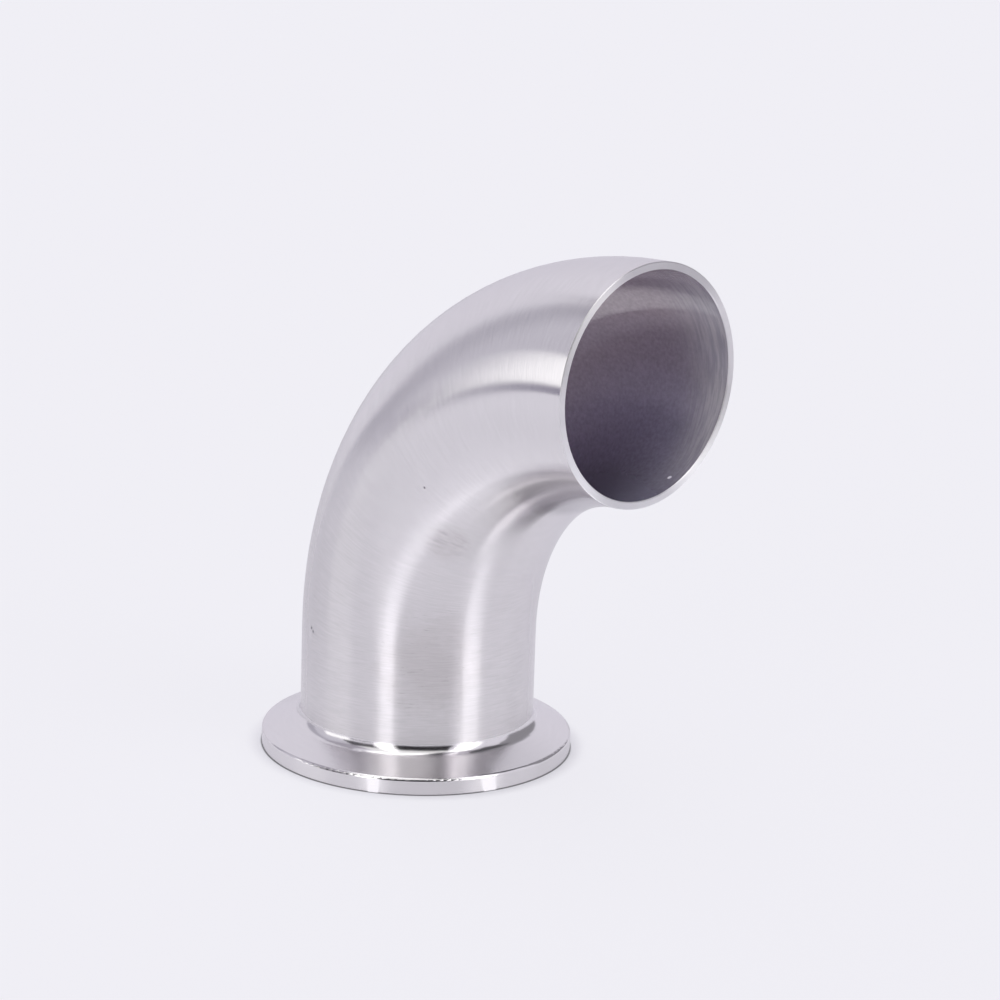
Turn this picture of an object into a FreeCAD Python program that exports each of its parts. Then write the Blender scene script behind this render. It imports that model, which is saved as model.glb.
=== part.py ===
"""Ninety degree sanitary tube elbow with a clamp ferrule on one end.

Two pieces of stainless steel, joined by a butt weld that is ground flush:
a turned clamp ferrule, and a short radius tube bend whose free end is faced
square for welding.

Frame, in millimetres: the origin is the centre of the ferrule's gasket face,
+Z runs up the ferrule's axis, and the bend turns towards +X.
"""
import FreeCAD, Part

import math
import os

# Tube
TUBE_OUTSIDE_DIAMETER = 38.0
TUBE_WALL = 1.2

# Bend
BEND_RADIUS = 50.0            # of the tube's centre line
BEND_ANGLE = 90.0             # degrees
OUTLET_FACED_OFF = 1.5        # length taken off the free end when it is faced square
OUTLET_EDGE_BREAK = 0.12      # chamfer left by deburring, inside and outside

# Clamp ferrule
FERRULE_LENGTH = 20.0         # gasket face to weld
RIM_DIAMETER = 50.5
RIM_THICKNESS = 2.7           # where the clamping taper meets the rim
CLAMP_TAPER = 20.0            # degrees from the plane of the rim
RIM_BACK_RADIUS = 0.55        # edge between taper and rim
RIM_FRONT_RADIUS = 0.2        # edge between rim and gasket face
NECK_FILLET_RADIUS = 2.0      # between taper and neck

# Gasket groove in the ferrule's face
GROOVE_DIAMETER = 43.5        # of its centre line
GROOVE_DEPTH = 1.2
GROOVE_FORM_RADIUS = 2.3      # of the round nosed tool that turns it

TUBE_RADIUS = TUBE_OUTSIDE_DIAMETER / 2
BORE_RADIUS = TUBE_RADIUS - TUBE_WALL
RIM_RADIUS = RIM_DIAMETER / 2
GROOVE_RADIUS = GROOVE_DIAMETER / 2

UP = FreeCAD.Vector(0, 0, 1)
ACROSS_BEND = FreeCAD.Vector(0, 1, 0)
WELD_CENTRE = UP * FERRULE_LENGTH
BEND_CENTRE = FreeCAD.Vector(BEND_RADIUS, 0, FERRULE_LENGTH)
ALONG_BEND = FreeCAD.Rotation(ACROSS_BEND, BEND_ANGLE)
OUTLET_DIRECTION = ALONG_BEND.multVec(UP)


def profile_point(radius, height):
    """A point of a turned profile, in the plane through the ferrule's axis."""
    return FreeCAD.Vector(radius, 0, height)


def rounded_corner(before, corner, after, radius):
    """The start, middle and end of the arc that rounds a corner of a profile."""
    towards_before = (before - corner).normalize()
    towards_after = (after - corner).normalize()
    half_angle = towards_before.getAngle(towards_after) / 2
    run = radius / math.tan(half_angle)
    bisector = (towards_before + towards_after).normalize()
    centre = corner + bisector * (radius / math.sin(half_angle))
    return corner + towards_before * run, centre - bisector * radius, corner + towards_after * run


def rounded_profile(corners):
    """A closed face from (point, corner radius) pairs; a radius of 0 leaves a sharp corner."""
    arcs = []
    for i, (corner, radius) in enumerate(corners):
        before = corners[i - 1][0]
        after = corners[(i + 1) % len(corners)][0]
        arcs.append(rounded_corner(before, corner, after, radius) if radius else (corner,))
    edges = []
    for i, arc in enumerate(arcs):
        if len(arc) > 1:
            edges.append(Part.Arc(*arc).toShape())
        start_of_next = arcs[(i + 1) % len(arcs)][0]
        edges.append(Part.makeLine(arc[-1], start_of_next))
    return Part.Face(Part.Wire(edges))


def turned(profile):
    """A profile turned about the ferrule's axis."""
    return profile.revolve(FreeCAD.Vector(), UP, 360)


def gasket_groove():
    """The ring that a round nosed tool cuts out of the gasket face."""
    tool_centre = profile_point(0, GROOVE_DEPTH - GROOVE_FORM_RADIUS)
    return Part.makeTorus(GROOVE_RADIUS, GROOVE_FORM_RADIUS, tool_centre, UP)


def make_clamp_ferrule():
    """Rim with a clamping taper, a neck of the tube's own section and a gasket groove."""
    rise_per_run = math.tan(math.radians(CLAMP_TAPER))
    taper_top = RIM_THICKNESS + (RIM_RADIUS - TUBE_RADIUS) * rise_per_run
    profile = rounded_profile([
        (profile_point(BORE_RADIUS, 0), 0),
        (profile_point(RIM_RADIUS, 0), RIM_FRONT_RADIUS),
        (profile_point(RIM_RADIUS, RIM_THICKNESS), RIM_BACK_RADIUS),
        (profile_point(TUBE_RADIUS, taper_top), NECK_FILLET_RADIUS),
        (profile_point(TUBE_RADIUS, FERRULE_LENGTH), 0),
        (profile_point(BORE_RADIUS, FERRULE_LENGTH), 0),
    ])
    return turned(profile).cut(gasket_groove())


def disc_at_weld(radius):
    """A round face across the tube, in the plane of the weld."""
    circle = Part.Circle(WELD_CENTRE, UP, radius)
    return Part.Face(Part.Wire(circle.toShape()))


def faced_off():
    """The end of the bend that facing takes away, as a disc much wider than the tube."""
    end_of_bend = BEND_CENTRE + ALONG_BEND.multVec(WELD_CENTRE - BEND_CENTRE)
    outlet_centre = end_of_bend - OUTLET_DIRECTION * OUTLET_FACED_OFF
    return Part.makeCylinder(TUBE_OUTSIDE_DIAMETER, TUBE_RADIUS, outlet_centre, OUTLET_DIRECTION)


def outlet_edges(bend):
    """The inner and the outer edge of the flat ring that facing leaves."""
    ring = max(bend.Faces, key=lambda face: face.CenterOfMass.dot(OUTLET_DIRECTION))
    return ring.Edges


def make_bent_tube():
    """Tube wall swept round the bend, faced square at the outlet and deburred."""
    wall = disc_at_weld(TUBE_RADIUS).cut(disc_at_weld(BORE_RADIUS))
    bend = wall.revolve(BEND_CENTRE, ACROSS_BEND, BEND_ANGLE).cut(faced_off())
    return bend.makeChamfer(OUTLET_EDGE_BREAK, outlet_edges(bend))


def main():
    os.makedirs("parts", exist_ok=True)
    pieces = {
        "clamp_ferrule": make_clamp_ferrule(),
        "bent_tube": make_bent_tube(),
    }
    for name, piece in pieces.items():
        solid = piece.Solids[0]
        solid.exportStep(os.path.join("parts", name + ".step"))
        print(name, "valid:", solid.isValid(), "volume in cubic mm:", round(solid.Volume, 1))


main()
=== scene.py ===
"""Looks of the ninety degree sanitary elbow: brushed stainless tube, bright turned ferrule, pale studio.

Everything is in metres, in the frame of the model: the origin is the centre of the gasket face,
+Z runs up the ferrule and the bend turns towards +X.
"""
import math
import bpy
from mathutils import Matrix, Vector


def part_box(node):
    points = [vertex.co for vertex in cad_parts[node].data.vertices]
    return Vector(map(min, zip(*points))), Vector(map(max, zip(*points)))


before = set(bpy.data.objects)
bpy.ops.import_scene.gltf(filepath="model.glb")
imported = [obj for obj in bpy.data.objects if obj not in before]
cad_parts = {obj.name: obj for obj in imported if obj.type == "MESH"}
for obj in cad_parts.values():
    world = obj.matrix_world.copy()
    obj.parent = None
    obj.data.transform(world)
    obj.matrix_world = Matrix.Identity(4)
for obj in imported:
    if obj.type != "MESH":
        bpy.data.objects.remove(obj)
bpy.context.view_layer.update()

from types import SimpleNamespace

import bpy
from mathutils import Matrix, Vector

# Sizes of the fitting
TUBE_RADIUS = 0.0190
BORE_RADIUS = 0.0178
BEND_RADIUS = 0.0500
FACED_OFF = 0.0015              # length that facing takes off the bend's free end
RIM_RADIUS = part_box("clamp_ferrule")[1].x
WELD_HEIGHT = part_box("clamp_ferrule")[1].z
OUTLET_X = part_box("bent_tube")[1].x
MOUTH = WELD_HEIGHT + BEND_RADIUS * math.pi / 2 - FACED_OFF    # end of the centre line
NECK_BOTTOM = 0.0062            # where the brushed neck ends and the bright fillet starts
RIM_EDGE_BOTTOM = 0.0023        # the rounding of the rim's upper edge is above this
RIM_EDGE_INSIDE = RIM_RADIUS - 0.0004    # and outside this radius

# Extent of each finish: the place where it has just ended, then the place from where it is full.
# A place is along the centre line from the gasket face, unless the comment says otherwise.
FACED_RING = (OUTLET_X - 0.00020, OUTLET_X - 0.00010)       # in x
BORE_WALL = (BORE_RADIUS + 0.0004, BORE_RADIUS + 0.0002)    # from the centre line
RIM_WALL = (RIM_RADIUS - 0.0002, RIM_RADIUS - 0.0001)       # from the centre line
FILLET = (TUBE_RADIUS + 0.0012, TUBE_RADIUS + 0.0008)       # from the centre line
RIM_EDGE = (RIM_EDGE_INSIDE - 0.0001, RIM_EDGE_INSIDE)      # from the centre line
RIM_EDGE_HEIGHT = (RIM_EDGE_BOTTOM - 0.0001, RIM_EDGE_BOTTOM)
BELOW_NECK = (NECK_BOTTOM + 0.0001, NECK_BOTTOM - 0.0001)
COARSE_BRUSHING = (0.062, 0.028)
WEAK_BRUSHING = (0.040, 0.080)
CLEAR_OF_HAZE = (0.035, 0.085)
THROAT = (0.070, 0.078)         # inner side of the bend, which the brush hardly reaches, and where painted shade darkens the steel
THROAT_INWARD = (0.0105, 0.0150)                            # towards the bend's centre
DEBURRED = (MOUTH - 0.012, MOUTH)                           # where the deburring tool has run
DEBURRED_SIDE = (0.002, 0.017)                              # across the tube
DRESSED_WELD = (0.0105, 0.0035)                             # from its middle
DRESSING_STROKES = (0.014, 0.006)                           # from its middle
SCRATCHED = (0.0050, 0.0015)                                # from its middle
DRESSED_WELD_MIDDLE = (0.0150, -0.0117, 0.0195)
SCRATCHED_MIDDLE = (0.0201, -0.0136, 0.0413)

# Marks that run round the tube: width and length of one mark
BRUSH_MARKS = (0.00018, 0.0035)
BROAD_MARKS = (0.0012, 0.0200)
SCUFFS = (0.00028, 0.0022)
DEBURRING_MARKS = (0.0005, 0.0050)
MARK_PATTERN = dict(scale=1.0, detail=3.0, roughness=0.6)

# Levels of the mark patterns between which a mark goes from absent to full
STROKE_CUT = (0.60, 0.72)
SCRATCH_CUT = (0.50, 0.62)
DEBURRING_CUT = (0.35, 0.65)

# Even patterns: the scale is in repeats per metre
BORE_GRAIN = dict(scale=1600.0, detail=2.0)
MOTTLE = dict(scale=260.0, detail=3.0, roughness=0.6)
MOTTLE_REACH = 0.012            # width over which the mottle moves the edge of the dressed patch

# Roughness
BRUSHED_FINE_AND_COARSE = (0.155, 0.25)
TAPER_ROUGHNESS = 0.15
RIM_ROUGHNESS = 0.23
POLISHED = 0.12                 # the fillet and the rim's rounded edge
THROAT_ROUGHNESS = 0.125
BORE_ROUGHNESS = 0.13
DEBURRED_ROUGHNESS = 0.24
RING_ROUGHNESS = 0.40
ROUGHNESS_OF_MARKS = 0.03       # width over which the marks change it

# Share of bare metal: the rest is the haze of fine scratches, or in the bore a thin dull film
BRUSHED_METALLIC = 0.67
BORE_METALLIC = 0.68
HAZE_GRAIN = 0.90               # how uneven the haze is where it ends

# Colours
BRUSHED_COLOURS = ((0.665, 0.645, 0.66), (0.905, 0.88, 0.895))
WEAK_BRUSHING_STRENGTH = 0.5
BRIGHT_COLOURS = ((0.765, 0.743, 0.76), (0.825, 0.803, 0.817))
BORE_FILM_PAINTED_TINT_COLOURS = ((0.88, 0.79, 0.84), (0.73, 0.72, 0.90))     # film colour with a painted tint of the light: warmer on the outer side of the bend, bluer on the inner
BORE_PAINTED_TINT_SIDES = (-0.012, 0.014)    # where these two are full, inward from the centre line
DEBURRED_COLOURS = ((0.72, 0.70, 0.77), (1.0, 1.0, 1.0))    # between the deburring marks and on them
RING_PAINTED_LIGHT_COLOURS = ((0.80, 0.78, 0.80), (0.98, 0.97, 0.99))     # painted light on the faced ring: darker on the outer side of the bend, near white on the inner
RING_PAINTED_LIGHT_SIDES = (0.002, 0.015)
SPECULAR_TINT = (0.92, 0.91, 0.93, 1.0)

# Tones that darken a colour
DRESSED_TONE = (0.91, 0.90, 0.895)
SCRATCHED_SHARE = 0.8           # of the dressed tone, for the patch of scratches
STROKE_TONE = (0.84, 0.84, 0.84)
# painted shade on the inner side of the bend
THROAT_PAINTED_SHADE_TONE = (0.68, 0.68, 0.69)
BORE_GRAIN_TONE = (0.60, 0.60, 0.60)
RING_MOTTLE_TONE = (0.86, 0.86, 0.86)

# Relief
RELIEF_DEPTH = 0.00001          # of the brush marks and of the grain in the bore
DEBURRED_RELIEF = 3.0           # depth of the deburring marks against the brush marks
QUARTER_TURN = 0.25             # sets the stretched highlights across the marks

SPECKS = [
    # place, radius, colour
    ((0.0462, 0.0080, 0.0539), 0.00035, (0.95, 0.94, 0.98)),      # bright speck in the bore
    ((0.0191, -0.0179, 0.0507), 0.00019, (0.25, 0.24, 0.26)),     # dark speck on the bend
    ((-0.0061, -0.0180, 0.0217), 0.00028, (0.18, 0.17, 0.19)),    # two dark specks on the neck
    ((-0.0055, -0.0182, 0.0213), 0.00027, (0.22, 0.21, 0.23)),
]
SPECK_SOFTNESS = 0.3            # share of the radius over which a speck fades, each way

# Camera
LENS = 134.87                   # on a sensor 36 mm wide
SENSOR_WIDTH = 36.0
CLIP_START = 0.01
CAMERA_AZIMUTH = 45.11          # 0 looks along +Y
CAMERA_ELEVATION = 15.97
CAMERA_ROLL = 1.9
CAMERA_DISTANCE = 0.6144
AIM = Vector((0.0010, 0.0166, 0.0385))

# Paper
PALE = (0.888, 0.880, 0.930)    # floor and backdrop
FLOOR_REACH = 1.5               # how far the paper goes to the back, the front and the right
FLOOR_LEFT = 0.5                # and to the left, seen from the camera
PAPER_GRAIN = dict(scale=900.0, detail=3.0)
PAPER_GRAIN_TONE = 0.99
CONTACT_SHADE = 0.28            # brightness of the paper at the rim's foot
CONTACT_WIDTH = 0.0003          # width of the line of shadow round the rim
SOFT_CONTACT_WIDTH = 0.003      # width of the softer shadow round it

# Evenness is the share of the paper's brightness that shadows don't reach
EVENNESS = 0.85                 # as the camera sees it
EVENNESS_AT_RIM = 0.35          # the same, where the rim's soft shadow is
EVENNESS_IN_STEEL = 0.36        # as the steel shows it
EVENNESS_NEARBY = 0.56          # the same, close to the fitting
NEARBY = (0.060, 0.035)         # from the ferrule's axis

# The shaded part of the paper, which only shows in the steel: its far left, seen from the camera
SHADED_LEVEL = 0.68
SHADED_LEFT = (0.0, 0.08)       # to the left of the ferrule's axis
SHADED_FAR_LEFT = (0.22, 0.08)
SHADED_DEPTH = (-0.06, 0.03)    # away from the camera

# The softboxes' bright streaks on the paper, which only show in the steel
STREAKS = [
    # foot, azimuth in degrees to the right of the camera, half width in degrees, and how far the
    # streak lies aside where the rim shows it
    ((0.010, -0.016, 0.0), -29, 8, -0.0014),
    ((0.018, -0.005, 0.0), 54, 10, 0.0027),
]
STREAK_SOFTNESS = 0.03          # of its edges, as a slope
STREAK_LEVELS = (1.45, 1.95)    # near the foot and far from it
STREAK_RISE = (0.045, 0.075)    # distance from the foot over which the level rises
STREAK_AT_RIM = 1.30            # level where the rim shows it
RIM_SHOWS = 0.037               # the rim shows the paper this far from the axis, the neck what is beyond
PAINTED_GLOW_INSIDE_NECK = 0.60            # painted light: brightness at which the paper inside the neck glows, as the steel shows it

# Panels of the studio, as seen from the fitting. Azimuths are degrees to the right of the camera,
# elevations are degrees above the floor, the softness of the edges is in degrees, and the level is
# how bright a panel is. A panel lies over those before it.
PANELS = [
    # name, from azimuth, to azimuth, from elevation, to elevation, softness, level, colour
    ("left wall", -127, -78, -4, 60, 3.0, 0.71, (0.92, 0.90, 1.0)),
    ("seam of the left wall", -127, -113, -4, 55, 4.0, 0.52, (0.90, 0.88, 1.0)),
    ("gap under the left wall", -135, -72, -90, -1, 2.0, 0.38, (0.84, 0.80, 1.0)),
    ("far left lamp", -96, -66, -2, 19, 4.0, 1.35, (1.0, 1.0, 1.0)),
    ("dark gap", -75, -40, 19, 44, 3.0, 0.10, (0.92, 0.90, 1.0)),
    ("low gap", -64, -40, -4, 5, 3.0, 0.20, (0.92, 0.90, 1.0)),
    ("left wall high", -132, -70, 44, 62, 4.0, 0.45, (0.92, 0.88, 1.0)),
    ("right side", 100, 152, -4, 70, 6.0, 0.32, (0.94, 0.92, 1.0)),
    ("right side high", 84, 130, 42, 70, 6.0, 0.10, (0.92, 0.90, 1.0)),
    ("ceiling over the camera", -62, 68, 43, 72, 5.0, 0.95, (1.0, 1.0, 1.0)),
    ("camera side", -20, 36, -6, 43, 3.0, 0.03, (0.90, 0.86, 1.0)),
    ("left softbox", -38, -20, -8, 57, 10.0, 2.0, (1.0, 1.0, 1.0)),
    ("right softbox", 43, 66, -8, 60, 10.0, 2.2, (1.0, 1.0, 1.0)),
    ("ceiling", -200, 200, 68, 100, 5.0, 1.75, (1.0, 1.0, 1.0)),
]
TENT_LEVEL = 0.86
TENT_COLOUR = (0.94, 0.92, 1.0)


class Nodes:
    """Adds nodes to one node tree and joins them up."""

    def __init__(self, tree):
        self.tree = tree
        tree.nodes.clear()

    def put(self, socket, value):
        """Joins a socket to another one, or gives it a value."""
        if isinstance(value, bpy.types.NodeSocket):
            self.tree.links.new(value, socket)
        else:
            socket.default_value = value

    def add(self, kind, inputs=None, **settings):
        node = self.tree.nodes.new("ShaderNode" + kind)
        for name, value in settings.items():
            setattr(node, name, value)
        for name, value in (inputs or {}).items():
            self.put(node.inputs[name], value)
        return node

    def math(self, operation, *values, clamp=False):
        node = self.add("Math", operation=operation, use_clamp=clamp)
        for socket, value in zip(node.inputs, values):
            self.put(socket, value)
        return node.outputs[0]

    def product(self, first, *others):
        for other in others:
            first = self.math("MULTIPLY", first, other)
        return first

    def inverse(self, mask):
        """1 where a mask is 0, and 0 where it is 1."""
        return self.math("SUBTRACT", 1.0, mask)

    def vary(self, value, noise, amount, clamp=False):
        """A value that noise moves up and down, by half the amount at most."""
        return self.math("MULTIPLY_ADD", self.math("SUBTRACT", noise, 0.5), amount, value, clamp=clamp)

    def vector(self, operation, *values):
        node = self.add("VectorMath", operation=operation)
        for socket, value in zip((s for s in node.inputs if s.enabled), values):
            self.put(socket, value)
        return node.outputs["Value" if operation in ("LENGTH", "DISTANCE", "DOT_PRODUCT") else "Vector"]

    def xyz(self, x, y, z):
        return self.add("CombineXYZ", {"X": x, "Y": y, "Z": z}).outputs[0]

    def split(self, vector):
        node = self.add("SeparateXYZ", {"Vector": vector})
        return node.outputs["X"], node.outputs["Y"], node.outputs["Z"]

    def smooth(self, value, absent, full):
        """0 at and beyond absent, 1 at and beyond full and a smooth step between them."""
        node = self.add("MapRange", {"Value": value}, interpolation_type="SMOOTHSTEP")
        falling = absent > full
        node.inputs["From Min"].default_value = min(absent, full)
        node.inputs["From Max"].default_value = max(absent, full)
        node.inputs["To Min"].default_value = 1.0 if falling else 0.0
        node.inputs["To Max"].default_value = 0.0 if falling else 1.0
        return node.outputs["Result"]

    def mix(self, data_type, factor, low, high):
        node = self.add("Mix", data_type=data_type, clamp_factor=True)
        for name, value in (("Factor", factor), ("A", low), ("B", high)):
            self.put(next(s for s in node.inputs if s.name == name and s.enabled), value)
        return next(s for s in node.outputs if s.enabled)

    def blend(self, factor, low, high):
        """A number: low where the factor is 0 and high where it is 1."""
        return self.mix("FLOAT", factor, low, high)

    def tint(self, factor, low, high):
        """A colour: low where the factor is 0 and high where it is 1."""
        low, high = ((*colour, 1.0) if isinstance(colour, tuple) else colour for colour in (low, high))
        return self.mix("RGBA", factor, low, high)

    def toned(self, colour, tone):
        """A colour that a tone makes darker."""
        return self.vector("MULTIPLY", colour, tone)

    def noise(self, vector, scale, detail=2.0, roughness=0.5):
        inputs = {"Vector": vector, "Scale": scale, "Detail": detail, "Roughness": roughness}
        return self.add("TexNoise", inputs).outputs["Fac"]

    def surface(self, shader, output_kind):
        """Makes a shader node the surface of the material or the world."""
        self.tree.links.new(shader.outputs[0], self.add(output_kind).inputs["Surface"])


def levelled(colour, level):
    """A colour at a brightness."""
    return tuple(channel * level for channel in colour)


def camera_axes(azimuth, elevation, roll):
    """Right, up and backward directions of a camera that looks at the fitting."""
    a, e, r = (math.radians(angle) for angle in (azimuth, elevation, roll))
    back = Vector((math.sin(a) * math.cos(e), -math.cos(a) * math.cos(e), math.sin(e)))
    level = Vector((math.cos(a), math.sin(a), 0))
    upright = back.cross(level)
    right = level * math.cos(r) + upright * math.sin(r)
    up = upright * math.cos(r) - level * math.sin(r)
    return right, up, back


def make_camera():
    right, up, back = camera_axes(CAMERA_AZIMUTH, CAMERA_ELEVATION, CAMERA_ROLL)
    data = bpy.data.cameras.new("camera")
    data.lens = LENS
    data.sensor_width = SENSOR_WIDTH
    data.clip_start = CLIP_START
    camera = bpy.data.objects.new("camera", data)
    bpy.context.scene.collection.objects.link(camera)
    placed = Matrix((right, up, back)).transposed().to_4x4()
    placed.translation = AIM + back * CAMERA_DISTANCE
    camera.matrix_world = placed
    bpy.context.scene.camera = camera


def make_world():
    """A light tent: pale cloth, two tall softboxes, a grey wall and the dark side where the camera is."""
    world = bpy.data.worlds.new("studio")
    bpy.context.scene.world = world
    world.use_nodes = True
    n = Nodes(world.node_tree)
    x, y, z = n.split(n.add("TexCoord").outputs["Generated"])
    elevation = n.math("ARCSINE", z)
    azimuth = n.math("ARCTAN2", y, x)
    camera_side = math.radians(CAMERA_AZIMUTH - 90)
    colour = levelled(TENT_COLOUR, TENT_LEVEL)
    for _, left, right, low, high, softness, level, tone in PANELS:
        middle = math.radians((left + right) / 2) + camera_side
        half = math.radians((right - left) / 2)
        soft = math.radians(softness) / 2
        turn = n.math("WRAP", n.math("SUBTRACT", azimuth, middle), math.pi, -math.pi)
        across = n.smooth(n.math("ABSOLUTE", turn), half + soft, half - soft)
        above = n.smooth(elevation, math.radians(low) - soft, math.radians(low) + soft)
        below = n.smooth(elevation, math.radians(high) + soft, math.radians(high) - soft)
        colour = n.tint(n.product(across, above, below), colour, levelled(tone, level))
    colour = n.tint(n.add("LightPath").outputs["Is Camera Ray"], colour, PALE)
    n.surface(n.add("Background", {"Color": colour, "Strength": 1.0}), "OutputWorld")


def floor_streaks(n, position, from_axis):
    """Where the softboxes' streaks are on the paper, from 0 to 1, and their level."""
    by_rim = n.math("LESS_THAN", from_axis, RIM_SHOWS)
    lit = 0.0
    risen = 0.0
    for foot, azimuth, half_width, aside in STREAKS:
        angle = math.radians(azimuth + CAMERA_AZIMUTH - 90)
        from_foot = n.vector("SUBTRACT", position, foot)
        away = n.vector("DOT_PRODUCT", from_foot, (math.cos(angle), math.sin(angle), 0.0))
        across = n.vector("DOT_PRODUCT", from_foot, (math.sin(angle), -math.cos(angle), 0.0))
        across = n.math("SUBTRACT", across, n.math("MULTIPLY", by_rim, aside))
        slope = n.math("DIVIDE", n.math("ABSOLUTE", across), away)
        edge = math.tan(math.radians(half_width))
        inside = n.smooth(slope, edge + STREAK_SOFTNESS, edge - STREAK_SOFTNESS)
        streak = n.product(inside, n.math("GREATER_THAN", away, 0.0))
        lit = n.math("MAXIMUM", lit, streak)
        rise = n.product(n.smooth(away, *STREAK_RISE), n.math("GREATER_THAN", streak, 0.0))
        risen = n.math("MAXIMUM", risen, rise)
    return lit, n.blend(by_rim, n.blend(risen, *STREAK_LEVELS), STREAK_AT_RIM)


def floor_shade(n, position):
    """1 where the far left of the paper is in shade."""
    right, _, back = camera_axes(CAMERA_AZIMUTH, 0.0, 0.0)
    leftward = n.vector("DOT_PRODUCT", position, tuple(-right))
    behind = n.vector("DOT_PRODUCT", position, tuple(-back))
    return n.product(
        n.smooth(leftward, *SHADED_LEFT),
        n.smooth(behind, *SHADED_DEPTH),
        n.smooth(leftward, *SHADED_FAR_LEFT),
    )


def floor_material():
    """Pale matt paper, evened out for the camera and for reflections."""
    material = bpy.data.materials.new("pale_paper")
    material.use_nodes = True
    n = Nodes(material.node_tree)
    position = n.add("TexCoord").outputs["Object"]
    path = n.add("LightPath")
    in_steel = path.outputs["Is Glossy Ray"]
    seen = n.math("MAXIMUM", path.outputs["Is Camera Ray"], path.outputs["Is Transmission Ray"])

    # the line of shadow where the rim stands on the paper, and the softer one round it
    from_axis = n.vector("LENGTH", position)
    inside_neck = n.math("LESS_THAN", from_axis, BORE_RADIUS)
    at_foot = n.smooth(from_axis, RIM_RADIUS + CONTACT_WIDTH, RIM_RADIUS)
    contact = n.blend(n.product(at_foot, n.inverse(inside_neck)), 1.0, CONTACT_SHADE)
    round_foot = n.smooth(from_axis, RIM_RADIUS + SOFT_CONTACT_WIDTH, RIM_RADIUS)

    grain = n.noise(position, **PAPER_GRAIN)
    paper = n.tint(grain, levelled(PALE, PAPER_GRAIN_TONE), PALE)
    paper = n.tint(n.product(floor_shade(n, position), in_steel), paper, levelled(PALE, SHADED_LEVEL))
    paper = n.add("BsdfDiffuse", {"Color": n.vector("SCALE", paper, contact)})

    streak, streak_level = floor_streaks(n, position, from_axis)
    streak = n.product(streak, in_steel)
    # painted light: the paper inside the neck glows, and the steel shows it
    brightness = n.product(n.blend(inside_neck, 1.0, PAINTED_GLOW_INSIDE_NECK), contact)
    brightness = n.blend(streak, brightness, streak_level)
    glow = n.add("Emission", {"Color": (*PALE, 1.0), "Strength": brightness})

    for_camera = n.product(seen, n.blend(round_foot, EVENNESS, EVENNESS_AT_RIM))
    for_steel = n.blend(n.smooth(from_axis, *NEARBY), EVENNESS_IN_STEEL, EVENNESS_NEARBY)
    # inside the neck the steel shows only that painted glow
    for_steel = n.blend(inside_neck, for_steel, 1.0)
    evenness = n.blend(in_steel, for_camera, for_steel)
    mix = n.add("MixShader", {"Fac": n.math("MAXIMUM", evenness, streak)})
    n.tree.links.new(paper.outputs[0], mix.inputs[1])
    n.tree.links.new(glow.outputs[0], mix.inputs[2])
    n.surface(mix, "OutputMaterial")
    return material


def make_floor():
    """A sheet of paper in line with the camera; its left edge shows in the steel."""
    right = camera_axes(CAMERA_AZIMUTH, 0.0, 0.0)[0]
    ahead = Vector((-right.y, right.x, 0.0))
    corners = []
    for across, along in ((-FLOOR_LEFT, -FLOOR_REACH), (FLOOR_REACH, -FLOOR_REACH),
                          (FLOOR_REACH, FLOOR_REACH), (-FLOOR_LEFT, FLOOR_REACH)):
        corners.append(right * across + ahead * along)
    mesh = bpy.data.meshes.new("floor")
    mesh.from_pydata(corners, [], [range(len(corners))])
    mesh.materials.append(floor_material())
    floor = bpy.data.objects.new("floor", mesh)
    bpy.context.scene.collection.objects.link(floor)


def place_on_fitting(n):
    """Where a point is on the fitting: along its centre line from the gasket face, inward from the
    centre line to the bend's centre, to the side, and away from the centre line."""
    point = n.add("TexCoord").outputs["Object"]
    x, y, z = n.split(point)
    above = n.math("SUBTRACT", z, WELD_HEIGHT)
    out = n.math("SUBTRACT", BEND_RADIUS, x)
    bent = n.math("GREATER_THAN", above, 0.0)
    reach = n.math("SQRT", n.math("ADD", n.product(out, out), n.product(above, above)))
    angle = n.math("ARCTAN2", above, out)
    along = n.blend(bent, z, n.math("MULTIPLY_ADD", angle, BEND_RADIUS, WELD_HEIGHT))
    inward = n.blend(bent, x, n.math("SUBTRACT", BEND_RADIUS, reach))
    radius = n.math("SQRT", n.math("ADD", n.product(inward, inward), n.product(y, y)))
    # the direction round the tube, turned with the bend
    sine = n.product(bent, n.math("DIVIDE", above, reach))
    cosine = n.blend(bent, 1.0, n.math("DIVIDE", out, reach))
    round_tube = n.vector("NORMALIZE", n.xyz(n.product(y, cosine, -1.0), inward, n.product(y, sine)))
    return SimpleNamespace(
        point=point, x=x, along=along, inward=inward, side=y, radius=radius, round_tube=round_tube)


def marks_round_tube(n, place, width, length):
    """A pattern of fine marks that run round the tube: width is across a mark, length along it."""
    stretched = n.xyz(
        n.math("DIVIDE", place.inward, length),
        n.math("DIVIDE", place.side, length),
        n.math("DIVIDE", place.along, width),
    )
    return n.noise(stretched, **MARK_PATTERN)


def steel_patterns(n, place):
    """The patterns that the finish is made of."""
    return SimpleNamespace(
        brush=marks_round_tube(n, place, *BRUSH_MARKS),
        broad=marks_round_tube(n, place, *BROAD_MARKS),
        scuffs=marks_round_tube(n, place, *SCUFFS),
        deburring=marks_round_tube(n, place, *DEBURRING_MARKS),
        grain=n.noise(place.point, **BORE_GRAIN),
        mottle=n.noise(place.point, **MOTTLE),
        grit=n.add("TexWhiteNoise", {"Vector": place.point}).outputs["Value"],
    )


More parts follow.
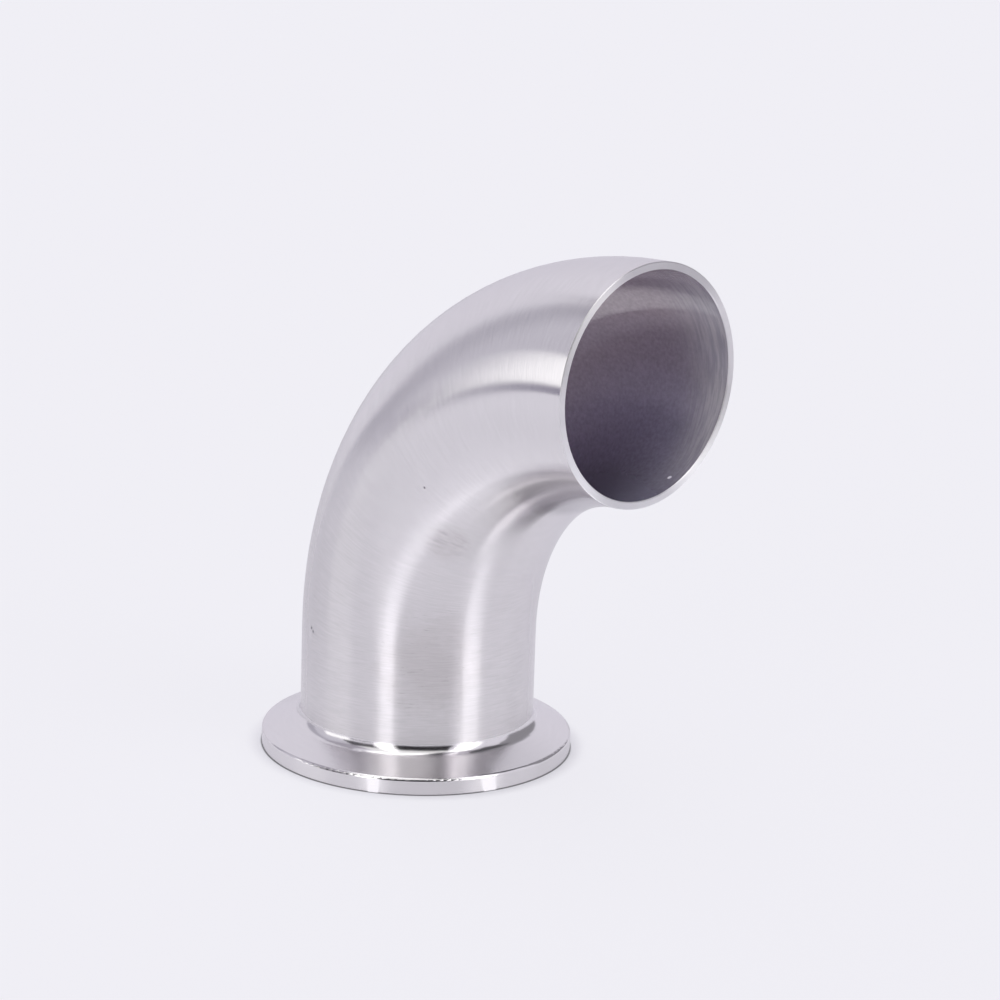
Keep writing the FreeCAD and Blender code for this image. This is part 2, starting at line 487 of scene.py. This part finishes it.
def steel_zones(n, place, pattern):
    """Where each finish is, from 0 to 1."""
    ring = n.smooth(place.x, *FACED_RING)
    bore = n.product(n.smooth(place.radius, *BORE_WALL), n.inverse(ring))
    deburred = n.product(n.smooth(place.along, *DEBURRED), n.smooth(place.side, *DEBURRED_SIDE), bore)
    throat = n.product(n.smooth(place.inward, *THROAT_INWARD), n.smooth(place.along, *THROAT))
    fillet = n.smooth(place.radius, *FILLET)
    rim_edge = n.product(n.smooth(place.radius, *RIM_EDGE), n.smooth(place.along, *RIM_EDGE_HEIGHT))
    # the dressed weld, with an uneven edge, and the patch of short scratches
    from_weld = n.vector("DISTANCE", place.point, DRESSED_WELD_MIDDLE)
    from_weld = n.vary(from_weld, pattern.mottle, MOTTLE_REACH)
    scratched = n.smooth(n.vector("DISTANCE", place.point, SCRATCHED_MIDDLE), *SCRATCHED)
    dressed = n.math("MAXIMUM", n.smooth(from_weld, *DRESSED_WELD), n.product(scratched, SCRATCHED_SHARE))
    strokes = n.product(n.smooth(pattern.scuffs, *STROKE_CUT), n.smooth(from_weld, *DRESSING_STROKES))
    scratches = n.product(scratched, n.smooth(pattern.scuffs, *SCRATCH_CUT))
    return SimpleNamespace(
        ring=ring, bore=bore, deburred=deburred, throat=throat, dressed=dressed,
        polished=n.math("MAXIMUM", fillet, rim_edge),
        strokes=n.math("MAXIMUM", strokes, scratches),
        bright=n.smooth(place.along, *BELOW_NECK),
        rim_wall=n.smooth(place.radius, *RIM_WALL),
        clear=n.smooth(place.along, *CLEAR_OF_HAZE),
    )


def steel_roughness(n, place, pattern, zone):
    """Roughness of the brushed tube, of the turned ferrule, of the bore and of the faced ring."""
    brushed = n.blend(n.smooth(place.along, *COARSE_BRUSHING), *BRUSHED_FINE_AND_COARSE)
    brushed = n.vary(brushed, pattern.brush, ROUGHNESS_OF_MARKS)
    brushed = n.vary(brushed, pattern.broad, ROUGHNESS_OF_MARKS)
    brushed = n.blend(zone.throat, brushed, THROAT_ROUGHNESS)
    turned = n.blend(zone.rim_wall, TAPER_ROUGHNESS, RIM_ROUGHNESS)
    turned = n.vary(turned, pattern.brush, ROUGHNESS_OF_MARKS)
    turned = n.blend(zone.polished, turned, POLISHED)
    rough = n.blend(zone.bright, brushed, turned)
    rough = n.blend(zone.bore, rough, n.blend(zone.deburred, BORE_ROUGHNESS, DEBURRED_ROUGHNESS))
    return n.blend(zone.ring, rough, RING_ROUGHNESS)


def steel_colour(n, place, pattern, zone):
    """Colour of the steel outside, of the film in the bore and of the faced ring, with painted shade on
    the inner side of the bend and painted light in the bore and on the ring.
    """
    strength = n.blend(n.smooth(place.along, *WEAK_BRUSHING), 1.0, WEAK_BRUSHING_STRENGTH)
    steel = n.tint(n.vary(0.5, pattern.brush, strength), *BRUSHED_COLOURS)
    steel = n.tint(zone.bright, steel, n.tint(pattern.brush, *BRIGHT_COLOURS))
    steel = n.tint(zone.dressed, steel, n.toned(steel, DRESSED_TONE))
    steel = n.tint(zone.strokes, steel, n.toned(steel, STROKE_TONE))
    # painted shade: the steel darker on the inner side of the bend
    steel = n.tint(zone.throat, steel, n.toned(steel, THROAT_PAINTED_SHADE_TONE))
    # painted tint of the light in the bore: warmer on the outer side of the bend, bluer on the inner
    film_and_painted_tint = n.tint(n.smooth(place.inward, *BORE_PAINTED_TINT_SIDES), *BORE_FILM_PAINTED_TINT_COLOURS)
    film_and_painted_tint = n.tint(pattern.grain, n.toned(film_and_painted_tint, BORE_GRAIN_TONE), film_and_painted_tint)
    deburred = n.tint(n.smooth(pattern.deburring, *DEBURRING_CUT), *DEBURRED_COLOURS)
    film_and_painted_tint = n.tint(zone.deburred, film_and_painted_tint, deburred)
    # painted light: the faced ring lighter towards the inner side of the bend
    ring = n.tint(n.smooth(place.inward, *RING_PAINTED_LIGHT_SIDES), *RING_PAINTED_LIGHT_COLOURS)
    ring = n.tint(pattern.mottle, n.toned(ring, RING_MOTTLE_TONE), ring)
    return n.tint(zone.ring, n.tint(zone.bore, steel, film_and_painted_tint), ring)


def add_specks(n, point, colour):
    """The colour with the specks on it, and where they are."""
    specks = 0.0
    for middle, radius, speck_colour in SPECKS:
        fade = radius * SPECK_SOFTNESS
        speck = n.smooth(n.vector("DISTANCE", point, middle), radius + fade, radius - fade)
        colour = n.tint(speck, colour, speck_colour)
        specks = n.math("MAXIMUM", specks, speck)
    return colour, specks


def steel_relief(n, pattern, zone):
    """Brush marks, the grain in the bore and the deeper deburring marks, standing out of the surface."""
    height = n.blend(zone.bore, pattern.brush, pattern.grain)
    height = n.math("ADD", height, n.product(zone.deburred, pattern.brush, DEBURRED_RELIEF))
    return n.add("Bump", {"Strength": 1.0, "Distance": RELIEF_DEPTH, "Height": height}).outputs[0]


def steel_metallic(n, pattern, zone):
    """The haze of the brushing thins out up the bend, unevenly, so that it has no visible end."""
    metallic = n.blend(zone.clear, BRUSHED_METALLIC, 1.0)
    spread = n.product(zone.clear, n.inverse(zone.clear), HAZE_GRAIN)
    metallic = n.vary(metallic, pattern.grit, spread, clamp=True)
    metallic = n.math("MAXIMUM", metallic, zone.bright)
    return n.blend(zone.bore, metallic, BORE_METALLIC)


def steel_material(name):
    """Stainless steel: brushed round the tube outside, bright below the neck, duller in the bore."""
    material = bpy.data.materials.new(name)
    material.use_nodes = True
    n = Nodes(material.node_tree)
    place = place_on_fitting(n)
    pattern = steel_patterns(n, place)
    zone = steel_zones(n, place, pattern)
    colour, specks = add_specks(n, place.point, steel_colour(n, place, pattern, zone))
    n.surface(n.add("BsdfPrincipled", {
        "Base Color": colour,
        "Metallic": n.blend(specks, steel_metallic(n, pattern, zone), 0.0),
        "Specular Tint": SPECULAR_TINT,
        "Roughness": steel_roughness(n, place, pattern, zone),
        "Anisotropic": 1.0,
        "Anisotropic Rotation": QUARTER_TURN,
        "Tangent": place.round_tube,
        "Normal": steel_relief(n, pattern, zone),
    }), "OutputMaterial")
    return material


def dress(node, material):
    """Gives a node of the model its finish."""
    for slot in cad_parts[node].material_slots:
        slot.material = material


def main():
    bpy.context.scene.view_settings.view_transform = "Standard"
    make_camera()
    make_world()
    make_floor()
    dress("bent_tube", steel_material("tube_steel"))
    dress("clamp_ferrule", steel_material("ferrule_steel"))


main()
